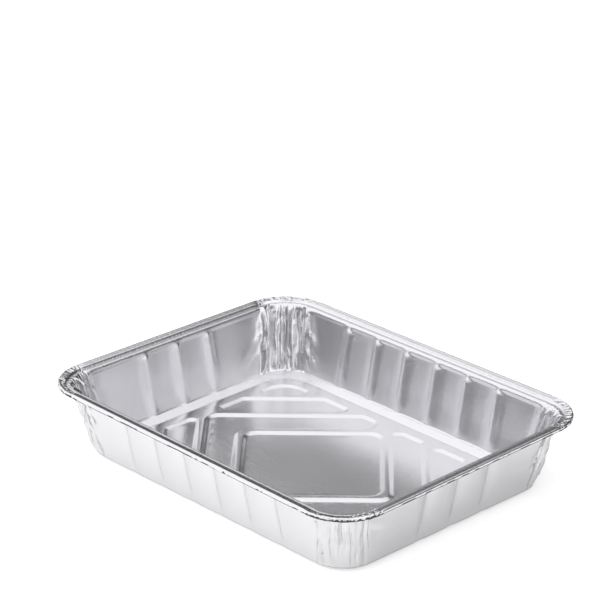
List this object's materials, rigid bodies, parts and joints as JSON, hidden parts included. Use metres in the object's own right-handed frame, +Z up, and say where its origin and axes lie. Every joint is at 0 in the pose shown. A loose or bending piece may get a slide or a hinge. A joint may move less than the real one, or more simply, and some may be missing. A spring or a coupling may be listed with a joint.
{
  "type": "foil roasting tray",
  "caption": "Rectangular pressed aluminium foil roasting tray with leaning ribbed walls, a curled rim and a base stamped with a diamond of slanting ridges.",
  "frame": {"origin": "on the table under the middle of the base", "axes": "+X along the long side, +Y along the short side, +Z up out of the open top"},
  "size_m": [0.32, 0.252, 0.058],
  "materials": {
    "foil": "bright rolled foil, creased at the corners"
  },
  "bodies": {
    "root": {"tray": "foil"}
  },
  "joints": []
}
